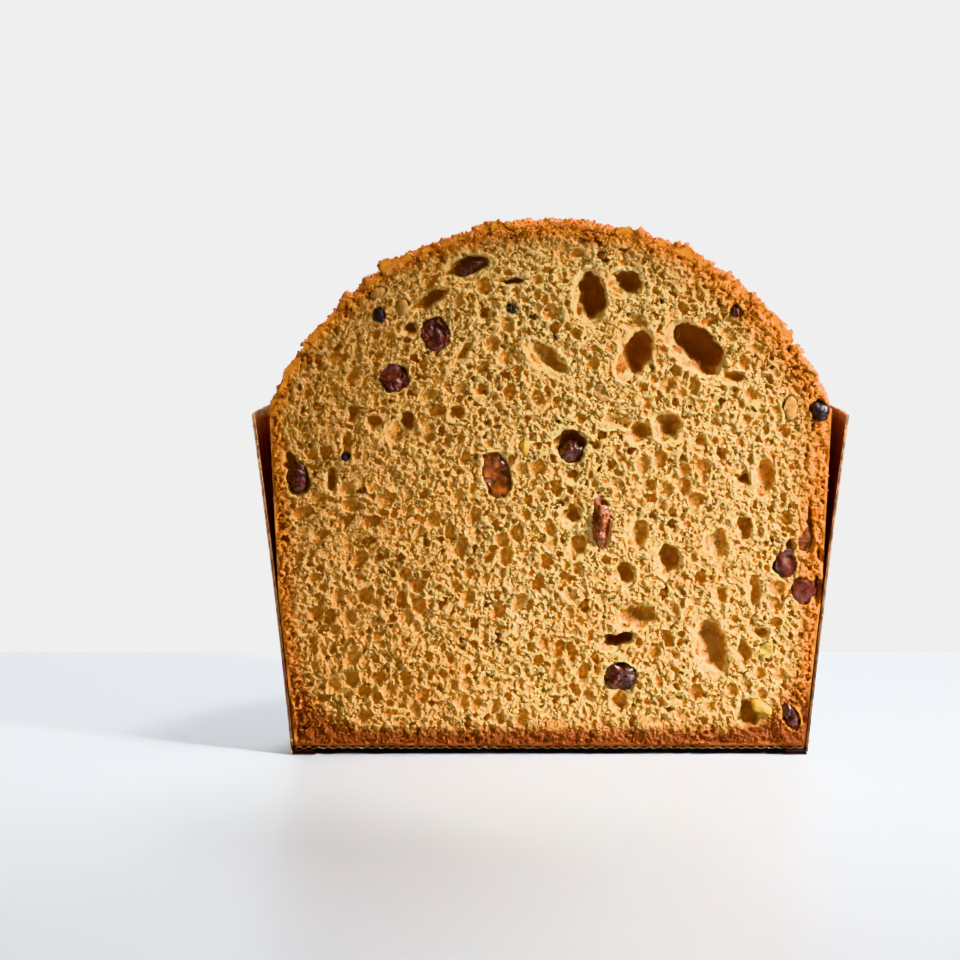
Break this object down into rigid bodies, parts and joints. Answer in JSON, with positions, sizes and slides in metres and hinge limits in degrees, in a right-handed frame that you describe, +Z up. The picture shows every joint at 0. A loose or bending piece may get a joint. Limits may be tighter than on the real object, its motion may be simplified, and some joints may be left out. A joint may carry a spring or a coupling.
{
  "type": "halved panettone in paper case",
  "caption": "Half of a tall domed sweet loaf, cut down the middle, with an open crumb holding dried and candied fruit, standing in its baked-on paper case.",
  "frame": {"origin": "middle of the underside of the bounding box, on the surface the case stands on", "axes": "+Z up the loaf's axis; -Y out of the flat cut face; +X along the cut face, to the right as one looks at it"},
  "size_m": [0.1946, 0.0992, 0.1759],
  "materials": {
    "loaf": "matt, porous crumb and a dry cracked crust",
    "case_paper": "matt fluted baking paper",
    "raisin": "wrinkled, slightly glossy",
    "almond": "satin",
    "orange_peel": "translucent, glossy",
    "fruit_strip": "translucent, glossy",
    "citron": "translucent, glossy"
  },
  "bodies": {
    "root": {"loaf": "loaf", "paper_case": "case_paper", "raisin_01": "raisin", "raisin_02": "raisin", "raisin_03": "raisin", "raisin_04": "raisin", "raisin_05": "raisin", "raisin_06": "raisin", "raisin_07": "raisin", "raisin_08": "raisin", "raisin_09": "raisin", "raisin_10": "raisin", "raisin_11": "raisin", "raisin_12": "raisin", "raisin_13": "raisin", "raisin_14": "raisin", "almond_01": "almond", "almond_02": "almond", "almond_03": "almond", "almond_04": "almond", "orange_peel_01": "orange_peel", "orange_peel_02": "orange_peel", "orange_peel_03": "orange_peel", "fruit_strip_01": "fruit_strip", "citron_01": "citron", "citron_02": "citron", "citron_03": "citron"}
  },
  "joints": []
}
